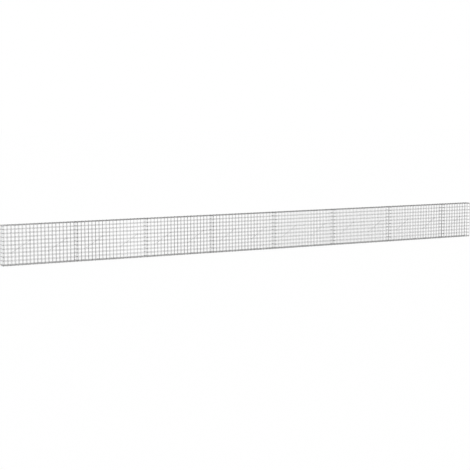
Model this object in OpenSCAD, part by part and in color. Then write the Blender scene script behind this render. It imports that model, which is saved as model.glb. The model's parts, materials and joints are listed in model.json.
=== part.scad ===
// Gabion fence: an empty basket of welded wire mesh, in seven full bays and a half bay.
// The mesh of the long sides and of the base runs on from bay to bay. Mesh walls part the
// bays, and their wires hook round the uprights of the long sides. Each bay has its own
// lid, which turns on rings along the back edge so that the bay can be filled. Rings hold
// the base to the long sides, and hooked ties stop the long sides from bulging.
// Millimetres. X runs along the fence, the front faces -Y, and Z is up.
// The origin is on the ground under the middle of the run.

/* [Mesh] */
// Spacing of the wires, centre to centre
mesh = 50; // [40:1:80]
// Diameter of the mesh wire
wire_d = 4; // [4:0.1:5]
// How deep two crossing wires sink into each other at their weld
weld = 1.2; // [1:0.1:1.2]

/* [Basket] */
// Full bays in the run
full_bays = 7; // [1:1:7]
// Mesh cells along a full bay
bay_cells = 20; // [16:2:24]
// Mesh cells along the shorter bay at the right end
end_bay_cells = 10; // [10:2:16]
// Mesh cells in the height
high_cells = 10; // [8:2:12]
// Mesh cells in the depth, front to back
deep_cells = 2; // [2:1:4]

/* [Fits] */
// Clearance between pieces that rest or lie against each other
seat_gap = 0.3; // [0.2:0.05:0.35]
// Clearance between neighbouring lids
lid_gap = 5; // [5:0.5:8]

/* [Rings] */
// Diameter of the ring wire
ring_d = 2.7; // [2:0.1:2.7]
// Cells from one ring to the next
ring_step_cells = 4; // [2:2:6]

/* [Ties] */
// Diameter of the tie wire
tie_d = 3.5; // [2.9:0.1:4.2]
// Cells from a bay's wall to the front hook of its first tie
tie_start_cells = 2; // [1:1:3]
// Cells that a tie spans along the fence
tie_run_cells = 6; // [4:2:6]
// Cell row that holds the front hooks
tie_low_row = 3; // [2:1:4]
// Cell row that holds the back hooks
tie_high_row = 6; // [5:1:7]
// Cells from one tie to the next
tie_step_cells = 10; // [8:2:12]

/* [Hidden] */
// A mesh wire is drawn as a square bar with the round wire's area, set corner to corner
// with the wires that it crosses. bar_r reaches its corners and flat_r its flats, both
// to the nearest twentieth.
bar_r = round(wire_d * sqrt(PI / 8) * 20) / 20;
flat_r = round(bar_r * cos(45) * 20) / 20;
cross = 2 * bar_r - weld;
stack = 2 * bar_r + seat_gap;
deep = deep_cells * mesh;
high = high_cells * mesh;
bays = full_bays + 1;
run = (full_bays * bay_cells + end_bay_cells) * mesh;

// Heights of the layers, from the ground up: base wires, side panels, lid wires
base_cross_z = flat_r;
base_long_z = base_cross_z + cross;
low_z = base_long_z + stack;
top_z = low_z + high;
lid_long_z = top_z + stack;
lid_cross_z = lid_long_z + cross;

// Planes of the long sides: their horizontal wires, and their uprights outside those
face_y = deep / 2;
upright_y = face_y + cross;

steel = "#b9bcbd";
bright_steel = "#c6c9ca";

// Cells, left seam and right seam of a bay
function bay_n(i) = i <= full_bays ? bay_cells : end_bay_cells;
function left_x(i) = i > bays ? run / 2 : -run / 2 + (i - 1) * bay_cells * mesh;
function right_x(i) = left_x(i + 1);

// A mesh that runs on is cut beside each seam. The wire at a seam goes with the bay on its
// right, and the last bay also holds the wire at the end of the run.
function cut_left(i) = left_x(i) - bar_r;
function cut_right(i) = i == bays ? right_x(i) + bar_r : right_x(i) - bar_r - seat_gap;
function cross_places(i) = [for (k = [0 : i == bays ? bay_n(i) : bay_n(i) - 1])
    left_x(i) + k * mesh];

// Straight mesh wires along each axis. A wire with turn = 45 has its flats up and down.
module wire(length, turn = 0) {
    rotate([0, 0, turn])
        cylinder(h = length, r = turn == 0 ? bar_r : flat_r / cos(45), $fn = 4);
}

module wire_x(x0, x1, y, z) {
    translate([x0, y, z]) rotate([0, 90, 0]) wire(x1 - x0);
}

module wire_y(y0, y1, x, z, turn = 0) {
    translate([x, y0, z]) rotate([-90, 0, 0]) wire(y1 - y0, turn);
}

module wire_z(z0, z1, x, y) {
    translate([x, y, z0]) wire(z1 - z0);
}

// A long side of one bay: horizontal wires, with uprights welded on outside them
module side_panel(i, side) {
    color(steel) {
        for (row = [0 : high_cells])
            wire_x(cut_left(i), cut_right(i), side * face_y, low_z + row * mesh);
        for (x = cross_places(i))
            wire_z(low_z - bar_r, top_z + bar_r, x, side * upright_y);
    }
}

// The base lies on the flats of its cross wires, which are welded under its long wires.
module base_panel(i) {
    color(steel) {
        for (row = [0 : deep_cells])
            wire_x(cut_left(i), cut_right(i), -face_y + row * mesh, base_long_z);
        for (x = cross_places(i))
            wire_y(-face_y - bar_r, face_y + bar_r, x, base_cross_z, 45);
    }
}

// A lid, with cross wires on top of its long wires. Its hinge line is the middle of its
// back long wire. The outer two cross wires are moved in, so that they stay within it.
module lid(i) {
    inset = bar_r + lid_gap / 2;
    color(steel) {
        for (row = [0 : deep_cells])
            wire_x(left_x(i) + lid_gap / 2, right_x(i) - lid_gap / 2,
                   -face_y + row * mesh, lid_long_z);
        for (k = [0 : bay_n(i)])
            wire_y(-face_y - bar_r, face_y + bar_r,
                   left_x(i) + k * mesh + (k == 0 ? inset : k == bay_n(i) ? -inset : 0),
                   lid_cross_z);
    }
}

// Bends are drawn a hair thinner than their straight wire, so that each starts within
// the wire's end.
bend_thinner = 0.05;
// Facets in a full turn of a bend, and round a bent or a round wire
bend_fn = 48;
section_fn = 16;
// Degrees that a hook turns through
hook_sweep = 200;

// A wire of a wall across the basket. It passes beside the upright at each end, on the
// side that dir points to, and bends back round it in a hook.
module hooked_wire(x, z, dir) {
    wire_y(-upright_y, upright_y, x + dir * stack, z);
    for (flip = [0, 1])
        translate([x, 0, z]) mirror([0, flip, 0]) mirror([dir < 0 ? 1 : 0, 0, 0])
            translate([0, upright_y, 0])
                rotate_extrude(angle = hook_sweep, $fn = bend_fn)
                    translate([stack, 0])
                        circle(r = flat_r - bend_thinner, $fn = section_fn);
}

// A wall across the basket: posts inside, and hooked wires that lie on the horizontal
// wires of the long sides, apart from the top one, which lies under them
module cross_wall(x, dir) {
    color(steel) {
        for (row = [1 : deep_cells - 1])
            wire_z(low_z - bar_r, top_z + bar_r, x + dir * (stack - cross),
                   -face_y + row * mesh);
        for (row = [0 : high_cells])
            hooked_wire(x, low_z + row * mesh + (row < high_cells ? stack : -stack), dir);
    }
}

module partition(i) {
    cross_wall(right_x(i), 1);
}

module end_panel(side) {
    cross_wall(side * run / 2, -side);
}

// Rings round two long wires that lie one above the other, midway between cross wires.
// Each is left open over ring_opening degrees, on the side that opening_at points to.
ring_r = stack / 2 + bar_r + seat_gap + ring_d / 2;
ring_opening = 40;
module edge_rings(i, y, z, opening_at) {
    color(bright_steel)
        for (k = [ring_step_cells / 2 : ring_step_cells : bay_n(i) - 1])
            translate([left_x(i) + (k + 0.5) * mesh, y, z])
                rotate([90, 0, 90])
                    rotate([0, 0, opening_at + ring_opening / 2])
                        rotate_extrude(angle = 360 - ring_opening, $fn = bend_fn)
                            translate([ring_r, 0])
                                circle(d = ring_d, $fn = section_fn);
}

module base_rings() {
    for (i = [1 : bays], side = [-1, 1])
        edge_rings(i, side * face_y, (low_z + base_long_z) / 2, side < 0 ? 0 : 180);
}

module hinge_rings() {
    for (i = [1 : bays])
        edge_rings(i, face_y, (top_z + lid_long_z) / 2, 200);
}

// A straight tie wire with a hook at each end, drawn about its own middle. It runs from
// the front side up to the back side. Its hooks close round an upright, just above the
// front row's wire and just below the back row's. Its second half is its first half
// reflected through the middle.
// How far the straight part runs on into its hook
tie_hook_lap = 0.5;
// Radius of a hook's middle line, and how far the hook's middle is from the row's wire
tie_hook_r = bar_r + tie_d / 2 + 2 * seat_gap;
tie_hook_lift = bar_r + seat_gap + (tie_d + tie_hook_r) / 2;
module tie() {
    x = -tie_run_cells * mesh / 2;
    y = -upright_y;
    z = tie_hook_lift - (tie_high_row - tie_low_row) * mesh / 2;
    reach = norm([x, y, z]);
    swing = asin(tie_hook_r / reach);
    color(bright_steel)
        for (flip = [0, 1])
            mirror([flip, 0, 0]) rotate([flip * 180, 0, 0])
                rotate([0, asin(-z / reach), atan2(y, x)]) {
                    rotate([0, 90, swing])
                        cylinder(h = reach * cos(swing) + tie_hook_lap, d = tie_d,
                                 $fn = section_fn);
                    translate([reach, 0, 0])
                        rotate([0, 0, 90 + swing - hook_sweep])
                            rotate_extrude(angle = hook_sweep, $fn = bend_fn)
                                translate([tie_hook_r, 0])
                                    circle(r = tie_d / 2 - bend_thinner, $fn = section_fn);
                }
}

module cross_ties() {
    for (i = [1 : bays])
        for (first = [tie_start_cells : tie_step_cells : bay_n(i) - tie_run_cells])
            translate([left_x(i) + (first + tie_run_cells / 2) * mesh, 0,
                       low_z + (tie_low_row + tie_high_row) * mesh / 2])
                tie();
}

for (i = [1 : bays]) {
    side_panel(i, -1);
    side_panel(i, 1);
    base_panel(i);
    lid(i);
}
for (i = [1 : full_bays])
    partition(i);
end_panel(-1);  // left_end_panel
end_panel(1);  // right_end_panel
cross_ties();
base_rings();
hinge_rings();
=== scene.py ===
"""Gabion fence: the look of the empty mesh basket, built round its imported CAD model.

The CAD model has square bars for mesh wires, so each of its pieces is replaced by the
same piece in round galvanised wire, with its welds, on the centre lines that its box
gives. The rings and ties are made again on their own lines. Metres throughout.
"""
import json
import math
import random

import bpy
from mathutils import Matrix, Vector

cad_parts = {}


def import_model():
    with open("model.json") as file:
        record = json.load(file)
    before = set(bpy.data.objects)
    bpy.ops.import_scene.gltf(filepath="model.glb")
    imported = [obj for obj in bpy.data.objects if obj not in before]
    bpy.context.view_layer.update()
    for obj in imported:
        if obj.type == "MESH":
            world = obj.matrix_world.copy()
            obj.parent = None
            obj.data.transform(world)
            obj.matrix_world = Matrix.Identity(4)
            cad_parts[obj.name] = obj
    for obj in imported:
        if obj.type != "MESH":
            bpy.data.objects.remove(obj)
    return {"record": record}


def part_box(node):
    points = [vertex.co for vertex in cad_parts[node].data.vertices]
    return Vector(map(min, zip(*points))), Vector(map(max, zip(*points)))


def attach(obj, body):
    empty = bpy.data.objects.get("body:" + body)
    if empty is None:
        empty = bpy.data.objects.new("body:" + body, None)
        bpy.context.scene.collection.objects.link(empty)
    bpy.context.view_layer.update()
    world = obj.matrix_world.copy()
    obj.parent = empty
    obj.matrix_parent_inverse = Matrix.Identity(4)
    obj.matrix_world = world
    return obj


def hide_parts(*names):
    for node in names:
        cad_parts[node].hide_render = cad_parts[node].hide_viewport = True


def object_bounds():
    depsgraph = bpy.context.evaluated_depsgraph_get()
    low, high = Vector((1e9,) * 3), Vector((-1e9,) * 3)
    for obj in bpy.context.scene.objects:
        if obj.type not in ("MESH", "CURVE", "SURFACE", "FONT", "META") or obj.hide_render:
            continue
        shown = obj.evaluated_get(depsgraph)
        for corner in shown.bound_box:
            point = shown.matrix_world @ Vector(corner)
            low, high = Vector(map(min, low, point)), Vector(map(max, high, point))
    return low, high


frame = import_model()
cad_lo, cad_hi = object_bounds()

# ---------------------------------------------------------------- sizes
MESH = 0.050                # wire spacing, centre to centre
WIRE_R = 0.0020             # mesh wire
CAD_BAR_R = 0.0025          # half the corner-to-corner width of the CAD's square bars
RING_WIRE_R = 0.00135       # ring wire
TIE_R = 0.00175             # tie wire
SEAT_GAP = 0.0003           # clearance between pieces that lie against each other

RING_STEP_CELLS = 4         # cells from one ring to the next
RING_OPENING = 40           # degrees left open in a ring
HOOK_SWEEP = 200            # degrees that a hook turns through
WALL_HOOK_R = 0.0050        # middle line of a wall wire's hook
TIE_HOOK_R = CAD_BAR_R + TIE_R + 2 * SEAT_GAP       # middle line of a tie's hook
# How far a tie's hook, at its middle, is above or below the row that it lies by
TIE_HOOK_LIFT = CAD_BAR_R + SEAT_GAP + TIE_R + TIE_HOOK_R / 2
TIE_START_CELLS = 2         # cells from a bay's wall to the front hook of its first tie
TIE_RUN_CELLS = 6           # cells that a tie spans along the fence
TIE_STEP_CELLS = 10         # cells from one tie to the next
TIE_LOW_ROW = 3             # cell row that holds the front hooks
TIE_HIGH_ROW = 6            # cell row that holds the back hooks

WORN_RIM = WIRE_R * 0.25    # bevel round a sheared end
NUGGET_R = WIRE_R * 0.95    # radius of a weld bead
NUGGET_HALF_H = WIRE_R * 0.54
NUGGET_PROFILE = ((-1, 0.75), (0, 1), (1, 0.75))    # level and radius, as shares of those

WIRE_SIDES = 12
RING_SIDES = 10
NUGGET_SIDES = 8
RING_STEPS = 24
HOOK_STEPS = 14
SHARP_ANGLE = 50            # degrees past which an edge isn't shaded smooth

X, Y, Z = Vector((1, 0, 0)), Vector((0, 1, 0)), Vector((0, 0, 1))
LEFT, RIGHT = -1, 1         # ways along X
FRONT, BACK = -1, 1         # ways along Y


def bodies_by_node():
    """The body that each CAD node rides on."""
    bodies = frame["record"]["behaviour"]["bodies"]
    return {node: body for body, nodes in bodies.items() for node in nodes}


BODY = bodies_by_node()
BAYS = sum(node.startswith("front_panel_") for node in BODY)

# Planes and layers, read from the CAD boxes
side_lo, side_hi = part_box("front_panel_1")
base_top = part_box("base_panel_1")[1].z
UPRIGHT_Y = -side_lo.y - CAD_BAR_R              # uprights of the long sides
FACE_Y = -side_hi.y + CAD_BAR_R                 # their horizontal wires
CROSS = UPRIGHT_Y - FACE_Y                      # between the middles of welded wires
LOW_Z = side_lo.z + CAD_BAR_R                   # lowest and highest horizontal wire
TOP_Z = side_hi.z - CAD_BAR_R
STACK = LOW_Z - (base_top - CAD_BAR_R)          # between wires that lie on each other
ROW_HEIGHTS = [LOW_Z + k * MESH for k in range(round((TOP_Z - LOW_Z) / MESH) + 1)]
DEEP_ROWS = [-FACE_Y + k * MESH for k in range(round(2 * FACE_Y / MESH) + 1)]


def seam(i):
    """The x of the seam on the left of bay i, or of the run's right end."""
    if i > BAYS:
        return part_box(f"front_panel_{BAYS}")[1].x - CAD_BAR_R
    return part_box(f"front_panel_{i}")[0].x + CAD_BAR_R


def bay_cells(i):
    return round((seam(i + 1) - seam(i)) / MESH)


# ---------------------------------------------------------------- mesh building
MIDDLE_TONE = 0.5


def tone_of(*key):
    """A wire's own shade of zinc, from 0 to 1, which its key always gives."""
    return random.Random(" ".join(str(part) for part in key)).random()


class Shape:
    """Vertices and faces gathered for one piece. Each vertex carries marks for the
    material: weld, cut (the bare steel of a sheared end) and the tone of its wire."""

    def __init__(self):
        self.verts = []
        self.faces = []
        self.marks = {"weld": [], "cut": [], "tone": []}

    def circle(self, centre, side, up, radius, sides, **marks):
        """Vertices on a circle, all with the same marks. Gives their numbers."""
        first = len(self.verts)
        for k in range(sides):
            a = 2 * math.pi * k / sides
            self.verts.append(centre + radius * (math.cos(a) * side + math.sin(a) * up))
        for kind, values in self.marks.items():
            values.extend([marks.get(kind, 0.0)] * sides)
        return list(range(first, first + sides))

    def skin(self, circles):
        """Walls from each circle to the next, and a face over each end."""
        for lower, upper in zip(circles, circles[1:]):
            for k in range(len(lower)):
                m = (k + 1) % len(lower)
                self.faces.append((lower[k], lower[m], upper[m], upper[k]))
        self.faces.append(tuple(reversed(circles[0])))
        self.faces.append(tuple(circles[-1]))

    def sweep(self, stations, sides, tone, sheared=(True, True)):
        """A closed tube through stations, each a centre, a direction and a radius."""
        side, last = None, None
        circles = []
        cuts = {0: sheared[0], len(stations) - 1: sheared[1]}
        for n, (centre, along, radius) in enumerate(stations):
            if side is None:
                side = along.orthogonal().normalized()
            else:
                side = last.rotation_difference(along) @ side
                side = (side - along * side.dot(along)).normalized()
            last = along
            circles.append(self.circle(centre, side, along.cross(side), radius, sides,
                                       tone=tone, cut=float(cuts.get(n, False))))
        self.skin(circles)

    def wire(self, start, end, tone, sheared=(True, True)):
        """A straight mesh wire. A sheared end has a worn rim, and any other end meets
        the wire that it runs on into."""
        along = (end - start).normalized()
        near = [(start, along, WIRE_R)]
        far = [(end, along, WIRE_R)]
        if sheared[0]:
            near = [(start, along, WIRE_R - WORN_RIM), (start + along * WORN_RIM, along, WIRE_R)]
        if sheared[1]:
            far = [(end - along * WORN_RIM, along, WIRE_R), (end, along, WIRE_R - WORN_RIM)]
        self.sweep(near + far, WIRE_SIDES, tone, sheared)

    def nugget(self, centre, normal):
        """The flattened bead of a spot weld between two crossing wires."""
        side = normal.orthogonal().normalized()
        up = normal.cross(side)
        self.skin([self.circle(centre + normal * NUGGET_HALF_H * level, side, up,
                               NUGGET_R * share, NUGGET_SIDES, tone=MIDDLE_TONE, weld=1.0)
                   for level, share in NUGGET_PROFILE])

    def build(self, node, slot):
        """Makes the mesh object that stands for a CAD node."""
        name = "wire_" + node
        mesh = bpy.data.meshes.new(name)
        mesh.from_pydata(self.verts, [], self.faces)
        mesh.update()
        for kind, values in self.marks.items():
            mark = mesh.attributes.new(kind, "FLOAT", "POINT")
            mark.data.foreach_set("value", values)
        mesh.shade_smooth()
        mesh.set_sharp_from_angle(angle=math.radians(SHARP_ANGLE))
        mesh.materials.append(MATERIALS[slot])
        piece = bpy.data.objects.new(name, mesh)
        bpy.context.scene.collection.objects.link(piece)
        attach(piece, BODY[node])
        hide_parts(node)


def sheet(node, mesh_name, sheared, long_wires, cross_wires, normal):
    """A flat sheet of mesh: long wires along X, cross wires, and a spot weld where each
    pair crosses. normal points from the long wires to the cross wires. Sheets that share
    a mesh name are parts of one mesh, and its long wires run on through each of their
    ends that isn't sheared."""
    shape = Shape()
    for row, (start, end) in enumerate(long_wires):
        shape.wire(start, end, tone_of(mesh_name, row), sheared)
    for k, (start, end) in enumerate(cross_wires):
        shape.wire(start, end, tone_of(node, "cross", k))
        for long_start, _ in long_wires:
            crossing = Vector((start.x, long_start.y, long_start.z))
            crossing += normal * (start - crossing).dot(normal) / 2
            shape.nugget(crossing, normal)
    shape.build(node, "mesh_wire")


# ---------------------------------------------------------------- panels
def cross_places(i):
    """Where the cross wires of a bay's sides and base are. The last bay also holds the
    wire at its far end."""
    count = bay_cells(i) + (1 if i == BAYS else 0)
    return [seam(i) + k * MESH for k in range(count)]


def run_on(i):
    """Where the long wires of a bay start and end, and which of their ends are sheared.
    They meet those of the next bay, 0.3 mm on from where the CAD piece is cut."""
    start = seam(i) - CAD_BAR_R
    end = seam(i + 1) + (CAD_BAR_R if i == BAYS else -CAD_BAR_R)
    return start, end, (i == 1, i == BAYS)


def side_panel(i, side):
    """A bay's FRONT or BACK. The uprights are outside the long wires."""
    name = "front_panel" if side == FRONT else "back_panel"
    node = f"{name}_{i}"
    lo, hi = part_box(node)
    start, end, sheared = run_on(i)
    sheet(node, name, sheared,
          [(Vector((start, side * FACE_Y, z)), Vector((end, side * FACE_Y, z)))
           for z in ROW_HEIGHTS],
          [(Vector((x, side * UPRIGHT_Y, lo.z)), Vector((x, side * UPRIGHT_Y, hi.z)))
           for x in cross_places(i)],
          Y * side)


def base_panel(i):
    """The base's cross wires lie on the ground, under its long wires."""
    node = f"base_panel_{i}"
    lo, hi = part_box(node)
    start, end, sheared = run_on(i)
    long_z, cross_z = hi.z - CAD_BAR_R, lo.z + WIRE_R
    sheet(node, "base_panel", sheared,
          [(Vector((start, y, long_z)), Vector((end, y, long_z))) for y in DEEP_ROWS],
          [(Vector((x, lo.y, cross_z)), Vector((x, hi.y, cross_z)))
           for x in cross_places(i)],
          -Z)


def lid(i):
    """A lid is a sheet of its own, with cross wires on top. Its outer two cross wires
    are moved in, so that they stay within it."""
    node = f"lid_{i}"
    lo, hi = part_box(node)
    inner = [seam(i) + k * MESH for k in range(1, bay_cells(i))]
    places = [lo.x + CAD_BAR_R] + inner + [hi.x - CAD_BAR_R]
    long_z, cross_z = lo.z + CAD_BAR_R, hi.z - CAD_BAR_R
    sheet(node, node, (True, True),
          [(Vector((lo.x, y, long_z)), Vector((hi.x, y, long_z))) for y in DEEP_ROWS],
          [(Vector((x, lo.y, cross_z)), Vector((x, hi.y, cross_z))) for x in places],
          Z)


def hooked_path(x, z, way):
    """A wall wire from the tip of its front hook to the tip of its back hook. It passes
    to the LEFT or RIGHT of the uprights at x, and bends back round them."""
    middle_x = x + way * (STACK - WALL_HOOK_R)
    back = []
    for s in range(HOOK_STEPS + 1):
        a = math.radians(HOOK_SWEEP) * s / HOOK_STEPS
        back.append((Vector((middle_x + way * WALL_HOOK_R * math.cos(a),
                             UPRIGHT_Y + WALL_HOOK_R * math.sin(a), z)),
                     Vector((-way * math.sin(a), math.cos(a), 0))))
    front = [(Vector((p.x, -p.y, z)), Vector((-d.x, d.y, 0))) for p, d in reversed(back)]
    return [(place, along, WIRE_R) for place, along in front + back]


def cross_wall(node, x, way):
    """A wall across the basket, to the LEFT or RIGHT of the uprights at x: posts inside,
    and hooked wires that lie on the rows of the long sides, apart from the top one, which
    lies under its row."""
    lo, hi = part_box(node)
    post_x = x + way * (STACK - CROSS)
    wire_x = x + way * STACK
    heights = [z + STACK for z in ROW_HEIGHTS[:-1]] + [ROW_HEIGHTS[-1] - STACK]
    shape = Shape()
    for n, y in enumerate(DEEP_ROWS[1:-1]):
        shape.wire(Vector((post_x, y, lo.z)), Vector((post_x, y, hi.z)),
                   tone_of(node, "post", n))
        for z in heights:
            shape.nugget(Vector(((post_x + wire_x) / 2, y, z)), X)
    for row, z in enumerate(heights):
        shape.sweep(hooked_path(x, z, way), WIRE_SIDES, tone_of(node, row))
    shape.build(node, "mesh_wire")


# ---------------------------------------------------------------- rings and ties
def ring_path(x, y, z, radius, opening_at):
    """An open ring round X. opening_at is where the middle of its opening is, in degrees
    up from +Y."""
    first = math.radians(opening_at + RING_OPENING / 2)
    stations = []
    for s in range(RING_STEPS + 1):
        a = first + math.radians(360 - RING_OPENING) * s / RING_STEPS
        stations.append((Vector((x, y + radius * math.cos(a), z + radius * math.sin(a))),
                         Vector((0, -math.sin(a), math.cos(a))), RING_WIRE_R))
    return stations


def rings(node, openings):
    """Rings midway between cross wires, round two long wires that lie on each other.
    openings has the sides that they are on, and where the rings of each are open."""
    lo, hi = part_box(node)
    radius = (hi.z - lo.z) / 2 - RING_WIRE_R
    shape = Shape()
    for i in range(1, BAYS + 1):
        for k in range(RING_STEP_CELLS // 2, bay_cells(i), RING_STEP_CELLS):
            for side, opening_at in openings.items():
                path = ring_path(seam(i) + (k + 0.5) * MESH, side * FACE_Y,
                                 (lo.z + hi.z) / 2, radius, opening_at)
                shape.sweep(path, RING_SIDES, tone_of(node, i, k, side))
    shape.build(node, "binding_wire")


def tie_path(middle):
    """A tie from the tip of its front hook to the tip of its back hook. The second half
    is the first one reflected through the middle."""
    to_hook = Vector((-TIE_RUN_CELLS * MESH / 2, -UPRIGHT_Y,
                      TIE_HOOK_LIFT - (TIE_HIGH_ROW - TIE_LOW_ROW) * MESH / 2))
    reach = to_hook.length
    swing = math.asin(TIE_HOOK_R / reach)
    ahead = to_hook / reach
    aside = Z.cross(ahead).normalized()
    half = []
    for s in range(HOOK_STEPS + 1):
        a = math.pi / 2 + swing - math.radians(HOOK_SWEEP) * (1 - s / HOOK_STEPS)
        place = to_hook + TIE_HOOK_R * (math.cos(a) * ahead + math.sin(a) * aside)
        half.append((place, aside * math.cos(a) - ahead * math.sin(a)))
    other = [(-place, along) for place, along in reversed(half)]
    return [(middle + place, along, TIE_R) for place, along in half + other]


def cross_ties():
    shape = Shape()
    for i in range(1, BAYS + 1):
        for first in range(TIE_START_CELLS, bay_cells(i) - TIE_RUN_CELLS + 1, TIE_STEP_CELLS):
            middle = Vector((seam(i) + (first + TIE_RUN_CELLS / 2) * MESH, 0,
                             LOW_Z + (TIE_LOW_ROW + TIE_HIGH_ROW) * MESH / 2))
            shape.sweep(tie_path(middle), RING_SIDES, tone_of("tie", i, first))
    shape.build("cross_ties", "binding_wire")


# ---------------------------------------------------------------- materials
WHITE = (1, 1, 1, 1)
BARE_STEEL = (0.13, 0.118, 0.106, 1)


class Tree:
    """The node tree of a new material or world."""

    def __init__(self, owner, output):
        owner.use_nodes = True
        self.nodes, self.links = owner.node_tree.nodes, owner.node_tree.links
        self.nodes.clear()
        self.surface = self.nodes.new(output).inputs["Surface"]

    def add(self, kind, inputs, **settings):
        """A node with these settings. Each input has a value, or the output of another
        node."""
        node = self.nodes.new(kind)
        for name, value in settings.items():
            setattr(node, name, value)
        for key, value in inputs.items():
            if isinstance(value, bpy.types.NodeSocket):
                self.links.new(value, node.inputs[key])
            else:
                node.inputs[key].default_value = value
        return node

    def show(self, shader):
        self.links.new(shader, self.surface)


def galvanised(name, grey, roughness, spangle):
    """Zinc-coated wire: crystals and clouds of grey, each wire a little lighter or darker
    than the next, pale matt bloom, dull welds and dark sheared ends. spangle is how far
    the grey goes either way."""
    material = bpy.data.materials.new(name)
    tree = Tree(material, "ShaderNodeOutputMaterial")
    place = tree.add("ShaderNodeTexCoord", {}).outputs["Object"]

    def noise(per_metre, detail):
        texture = tree.add("ShaderNodeTexNoise",
                           {"Vector": place, "Scale": per_metre, "Detail": detail})
        return texture.outputs["Fac"]

    def mark(kind):
        return tree.add("ShaderNodeAttribute", {}, attribute_name=kind).outputs["Fac"]

    def add_share(value, share, rest=0.0):
        """A share of a value, added to the rest."""
        node = tree.add("ShaderNodeMath", {0: value, 1: share, 2: rest},
                        operation="MULTIPLY_ADD")
        return node.outputs["Value"]

    def tint(colour, factor, other):
        """The colour, mixed with another by a factor."""
        node = tree.add("ShaderNodeMix", {"Factor": factor, "A": colour, "B": other},
                        data_type="RGBA")
        return node.outputs["Result"]

    def spread(value, low, high, to_low, to_high):
        """The value, moved from one range to another and kept within it."""
        node = tree.add("ShaderNodeMapRange", {"Value": value, "From Min": low,
                                               "From Max": high, "To Min": to_low,
                                               "To Max": to_high})
        return node.outputs["Result"]

    def shade(share):
        return (grey * share, grey * share, grey * share, 1)

    crystals = tree.add("ShaderNodeTexVoronoi", {"Vector": place, "Scale": 260})
    facets = tree.add("ShaderNodeRGBToBW", {"Color": crystals.outputs["Color"]})
    clouds = noise(per_metre=14, detail=4)
    bloom = spread(noise(per_metre=60, detail=5), low=0.56, high=0.70, to_low=0, to_high=0.45)

    # The wire's own tone, the clouds and the crystals, in shares that add up to 1
    tone = add_share(mark("tone"), 0.34,
                     add_share(clouds, 0.30, add_share(facets.outputs["Val"], 0.36)))
    colour = tint(shade(1 - spangle), tone, shade(1 + spangle))
    colour = tint(colour, bloom, shade(1.3))
    colour = tint(colour, add_share(mark("weld"), 0.8), shade(0.72))
    colour = tint(colour, add_share(mark("cut"), 0.75), BARE_STEEL)
    gloss = spread(crystals.outputs["Distance"], low=0, high=1,
                   to_low=roughness - 0.08, to_high=roughness + 0.10)
    grain = tree.add("ShaderNodeBump", {"Strength": 0.25, "Distance": 0.0001,
                                        "Height": noise(per_metre=900, detail=3)})
    bsdf = tree.add("ShaderNodeBsdfPrincipled",
                    {"Base Color": colour, "Metallic": 0.5,
                     "Roughness": add_share(bloom, 0.4, gloss),
                     "Normal": grain.outputs["Normal"]})
    tree.show(bsdf.outputs["BSDF"])
    return material


def shown_rays(tree):
    """1 for a ray from the camera, or one that metal or glass sends on, and 0 for others."""
    path = tree.add("ShaderNodeLightPath", {})
    total = path.outputs["Is Camera Ray"]
    for kind in ("Is Glossy Ray", "Is Transmission Ray"):
        either = tree.add("ShaderNodeMath", {0: total, 1: path.outputs[kind]},
                          operation="MAXIMUM")
        total = either.outputs["Value"]
    return total


# ---------------------------------------------------------------- stage, light, camera
FLOOR_REACH = 80.0
FLOOR_DROP = 0.0005         # keeps the floor clear of the wires that lie on it
FLOOR_GREY = 0.97
FLOOR_GLOW = 0.85           # share of plain white in what the camera sees of the floor
SKY_LIGHT = 0.52            # strength of the sky's light, where the camera sees white


def floor():
    """A pale floor that takes shadows, and looks white to the camera and in reflections."""
    material = bpy.data.materials.new("floor_white")
    tree = Tree(material, "ShaderNodeOutputMaterial")
    plain = tree.add("ShaderNodeBsdfDiffuse", {"Color": (FLOOR_GREY, FLOOR_GREY, FLOOR_GREY, 1)})
    glow = tree.add("ShaderNodeEmission", {"Color": WHITE, "Strength": 1.0})
    share = tree.add("ShaderNodeMath", {0: shown_rays(tree), 1: FLOOR_GLOW},
                     operation="MULTIPLY")
    mix = tree.add("ShaderNodeMixShader", {0: share.outputs["Value"], 1: plain.outputs["BSDF"],
                                           2: glow.outputs["Emission"]})
    tree.show(mix.outputs["Shader"])

    mesh = bpy.data.meshes.new("floor")
    corners = [(-1, -1), (1, -1), (1, 1), (-1, 1)]
    mesh.from_pydata([(x * FLOOR_REACH, y * FLOOR_REACH, cad_lo.z - FLOOR_DROP)
                      for x, y in corners], [], [(0, 1, 2, 3)])
    mesh.materials.append(material)
    obj = bpy.data.objects.new("floor", mesh)
    bpy.context.scene.collection.objects.link(obj)


def world():
    sky = bpy.data.worlds.new("studio")
    tree = Tree(sky, "ShaderNodeOutputWorld")
    level = tree.add("ShaderNodeMapRange",
                     {"Value": shown_rays(tree), "To Min": SKY_LIGHT, "To Max": 1.0})
    background = tree.add("ShaderNodeBackground",
                          {"Color": WHITE, "Strength": level.outputs["Result"]})
    tree.show(background.outputs["Background"])
    bpy.context.scene.world = sky


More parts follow.
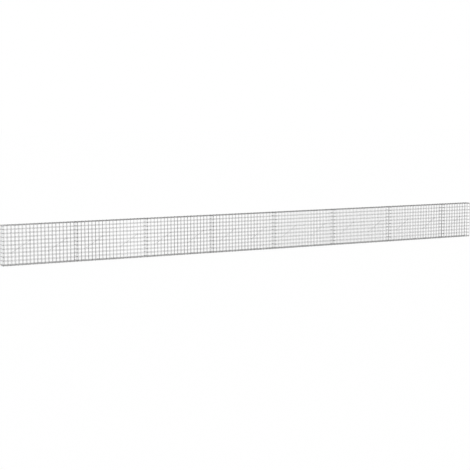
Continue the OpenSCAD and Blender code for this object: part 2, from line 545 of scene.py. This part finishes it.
def sun(name, azimuth, elevation, strength, angle):
    """A soft lamp. Azimuth 0 is in front of the fence, and 90 off its right end."""
    lamp = bpy.data.lights.new(name, "SUN")
    lamp.energy = strength
    lamp.angle = math.radians(angle)
    obj = bpy.data.objects.new(name, lamp)
    a, e = math.radians(azimuth), math.radians(elevation)
    towards = Vector((math.sin(a) * math.cos(e), -math.cos(a) * math.cos(e), math.sin(e)))
    obj.rotation_mode = "QUATERNION"
    obj.rotation_quaternion = towards.to_track_quat("Z", "Y")
    bpy.context.scene.collection.objects.link(obj)


def camera():
    """A long lens off the left end, looking a little down, with no lens shift."""
    heading, down = math.radians(29.488), math.radians(5.858)
    data = bpy.data.cameras.new("camera")
    data.lens = 95.6
    data.sensor_width = 36
    data.clip_end = 400
    obj = bpy.data.objects.new("camera", data)
    obj.location = (-8.871, -15.009, 1.9932)
    look = Vector((math.sin(heading) * math.cos(down), math.cos(heading) * math.cos(down),
                   -math.sin(down)))
    obj.rotation_mode = "QUATERNION"
    obj.rotation_quaternion = look.to_track_quat("-Z", "Y")
    bpy.context.scene.collection.objects.link(obj)
    bpy.context.scene.camera = obj


# ---------------------------------------------------------------- the scene
camera()
bpy.context.scene.view_settings.view_transform = "Standard"
MATERIALS = {
    "mesh_wire": galvanised("galvanised_mesh", grey=0.25, roughness=0.48, spangle=0.30),
    "binding_wire": galvanised("galvanised_binding", grey=0.42, roughness=0.40, spangle=0.22),
}

for bay in range(1, BAYS + 1):
    side_panel(bay, FRONT)
    side_panel(bay, BACK)
    base_panel(bay)
    lid(bay)
for wall in range(1, BAYS):
    cross_wall(f"partition_{wall}", seam(wall + 1), RIGHT)
cross_wall("left_end_panel", seam(1), RIGHT)
cross_wall("right_end_panel", seam(BAYS + 1), LEFT)
rings("base_rings", {FRONT: 0, BACK: 180})
rings("hinge_rings", {BACK: 200})
cross_ties()

floor()
world()
sun("key_light", azimuth=-35, elevation=50, strength=1.7, angle=18)
sun("fill_light", azimuth=70, elevation=35, strength=0.45, angle=60)
